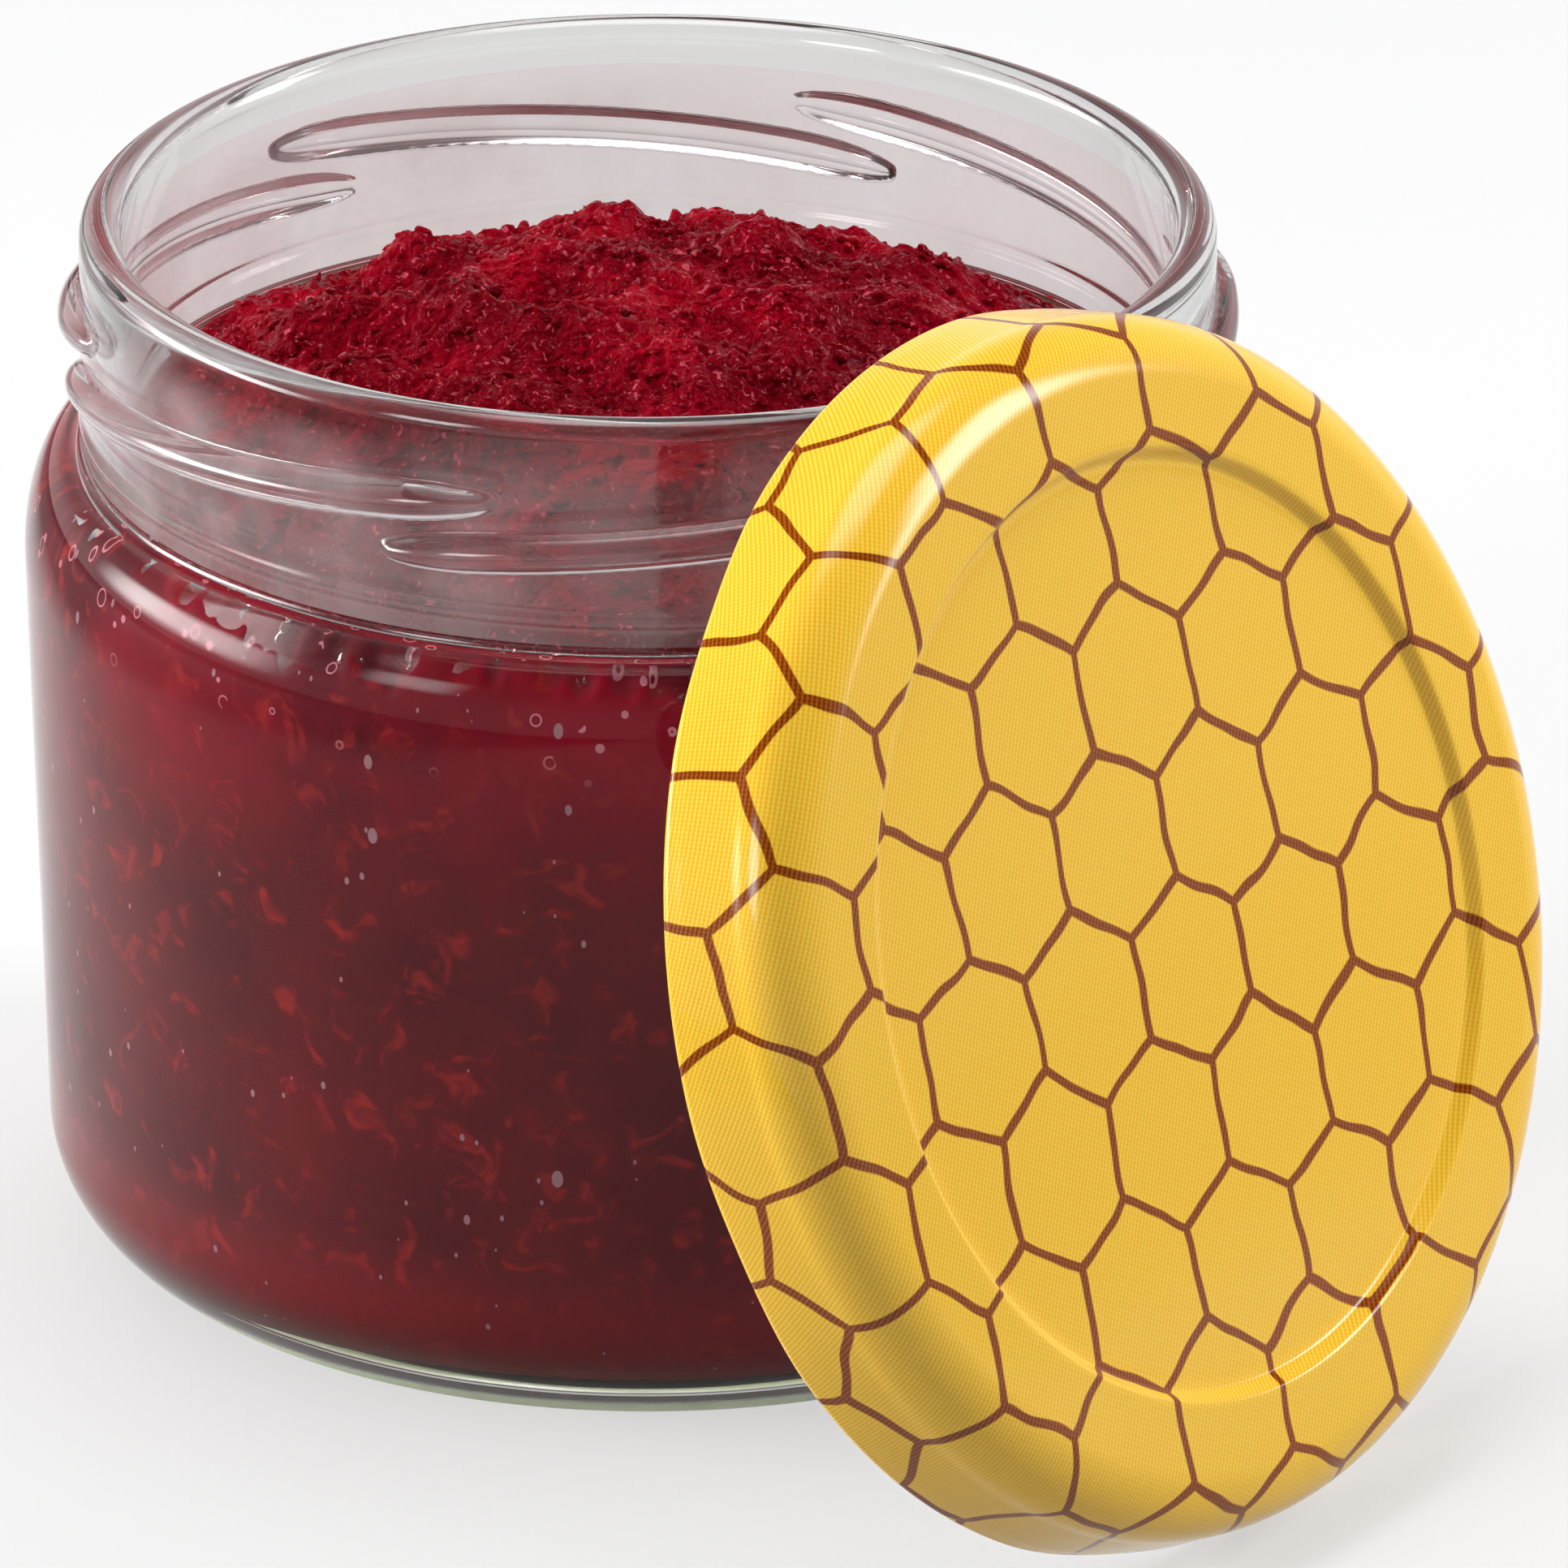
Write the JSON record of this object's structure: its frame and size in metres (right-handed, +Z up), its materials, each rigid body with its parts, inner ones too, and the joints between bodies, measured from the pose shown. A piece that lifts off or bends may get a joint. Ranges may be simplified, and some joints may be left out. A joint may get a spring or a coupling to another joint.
{
  "type": "glass jar",
  "caption": "Squat clear glass preserve jar with a twist-off thread finish, heaped with dark fruit preserve, and its pressed metal lug lid taken off and leaning on it.",
  "frame": {"origin": "on the table, in the middle of the footprint of the jar and its leaning lid", "axes": "+Z is up along the jar's axis, -Y runs from the jar towards the leaning lid"},
  "size_m": [0.1056, 0.116, 0.0827],
  "materials": {
    "clear_glass": "clear, fire-polished",
    "preserve": "wet, grated fruit",
    "lid_lacquer": "gloss printed tinplate, white inside",
    "sealing_compound": "satin"
  },
  "bodies": {
    "jar": {"glass_jar": "clear_glass", "preserve_fill": "preserve"},
    "lid": {"lid_shell": "lid_lacquer", "lid_gasket": "sealing_compound"}
  },
  "joints": [
    {"name": "lid_lift", "type": "slide", "parent": "jar", "child": "lid", "axis": [0, -0.9511, 0.309], "range_m": [0, 0.09]}
  ]
}
